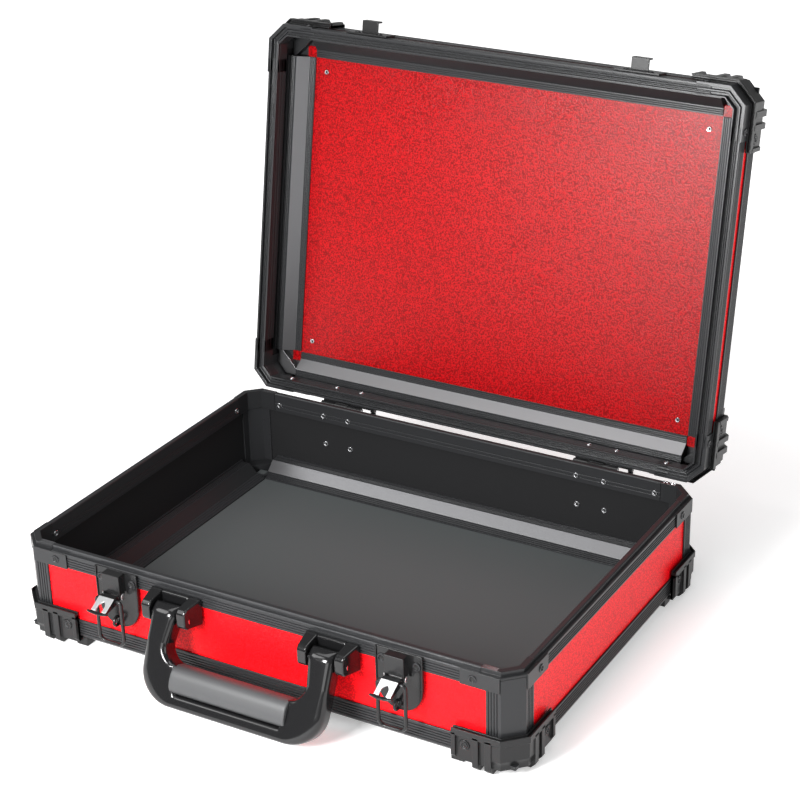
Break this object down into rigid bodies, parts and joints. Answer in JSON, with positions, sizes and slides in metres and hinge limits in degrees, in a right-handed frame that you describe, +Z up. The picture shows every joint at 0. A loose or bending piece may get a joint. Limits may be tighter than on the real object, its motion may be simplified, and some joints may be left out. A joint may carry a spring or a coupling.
{
  "type": "attache case",
  "caption": "Aluminium-framed attache case with red panels, standing open on its corner feet, with a hinged lid, draw latches and a swing handle.",
  "frame": {"origin": "middle of the bounding box, on the plane of the feet", "axes": "+X to the right seen from the front, +Y from the handle side towards the hinges, +Z up"},
  "size_m": [0.4696, 0.5014, 0.4341],
  "materials": {
    "anodised": "black anodised satin",
    "red_panel": "fine pebbled texture",
    "floor_grey": "fine grain",
    "black_plastic": "satin moulded",
    "gloss_black": "polished",
    "black_enamel": "black gloss enamel",
    "grip": "satin soft touch",
    "steel": "turned"
  },
  "bodies": {
    "case": {"base_edge_frame": "anodised", "base_floor_panel": "floor_grey", "base_rim_front": "anodised", "base_wall_front": "red_panel", "base_rim_right": "anodised", "base_wall_right": "red_panel", "base_rim_back": "anodised", "base_wall_back": "red_panel", "base_rim_left": "anodised", "base_wall_left": "red_panel", "base_post_front_right": "anodised", "base_rim_cap_front_right": "anodised", "base_protector_front_right": "black_plastic", "base_post_front_left": "anodised", "base_rim_cap_front_left": "anodised", "base_protector_front_left": "black_plastic", "base_post_back_right": "anodised", "base_rim_cap_back_right": "anodised", "base_protector_back_right": "black_plastic", "base_post_back_left": "anodised", "base_rim_cap_back_left": "anodised", "base_protector_back_left": "black_plastic", "hinge_base_leaf_left": "black_enamel", "hinge_pin_left": "steel", "latch_plate_left": "black_enamel", "handle_bracket_left": "gloss_black", "handle_pin_left": "steel", "hinge_base_leaf_right": "black_enamel", "hinge_pin_right": "steel", "latch_plate_right": "black_enamel", "handle_bracket_right": "gloss_black", "handle_pin_right": "steel"},
    "lid": {"lid_edge_frame": "anodised", "lid_top_panel": "red_panel", "lid_rim_front": "anodised", "lid_wall_front": "red_panel", "lid_rim_right": "anodised", "lid_wall_right": "red_panel", "lid_rim_back": "anodised", "lid_wall_back": "red_panel", "lid_rim_left": "anodised", "lid_wall_left": "red_panel", "lid_corner_front_right": "anodised", "lid_protector_front_right": "black_plastic", "lid_corner_front_left": "anodised", "lid_protector_front_left": "black_plastic", "lid_corner_back_right": "anodised", "lid_protector_back_right": "black_plastic", "lid_corner_back_left": "anodised", "lid_protector_back_left": "black_plastic", "hinge_lid_leaf_left": "black_enamel", "strike_left": "black_enamel", "hinge_lid_leaf_right": "black_enamel", "strike_right": "black_enamel"},
    "handle": {"handle_frame": "gloss_black", "handle_grip": "grip"},
    "left_lever": {"latch_lever_left": "black_enamel"},
    "right_lever": {"latch_lever_right": "black_enamel"},
    "left_bail": {"latch_bail_left": "black_enamel"},
    "right_bail": {"latch_bail_right": "black_enamel"}
  },
  "joints": [
    {"name": "lid_hinge", "type": "hinge", "parent": "case", "child": "lid", "pos_m": [0, 0.14311, 0.085], "axis": [1, 0, 0], "range_deg": [0, 100]},
    {"name": "handle_swing", "type": "hinge", "parent": "case", "child": "handle", "pos_m": [0, -0.21489, 0.0675], "axis": [-1, 0, 0], "range_deg": [0, 96]},
    {"name": "left_lever_swing", "type": "hinge", "parent": "case", "child": "left_lever", "pos_m": [-0.131, -0.20739, 0.0665], "axis": [1, 0, 0], "range_deg": [0, 60]},
    {"name": "left_bail_swing", "type": "hinge", "parent": "left_lever", "child": "left_bail", "pos_m": [-0.131, -0.21489, 0.065], "axis": [1, 0, 0], "range_deg": [-240, 0]},
    {"name": "right_lever_swing", "type": "hinge", "parent": "case", "child": "right_lever", "pos_m": [0.131, -0.20739, 0.0665], "axis": [1, 0, 0], "range_deg": [0, 60]},
    {"name": "right_bail_swing", "type": "hinge", "parent": "right_lever", "child": "right_bail", "pos_m": [0.131, -0.21489, 0.065], "axis": [1, 0, 0], "range_deg": [-240, 0]}
  ],
  "couplings": [
    {"joint": "left_bail_swing", "follows": "left_lever_swing", "ratio": -4},
    {"joint": "right_bail_swing", "follows": "right_lever_swing", "ratio": -4}
  ]
}
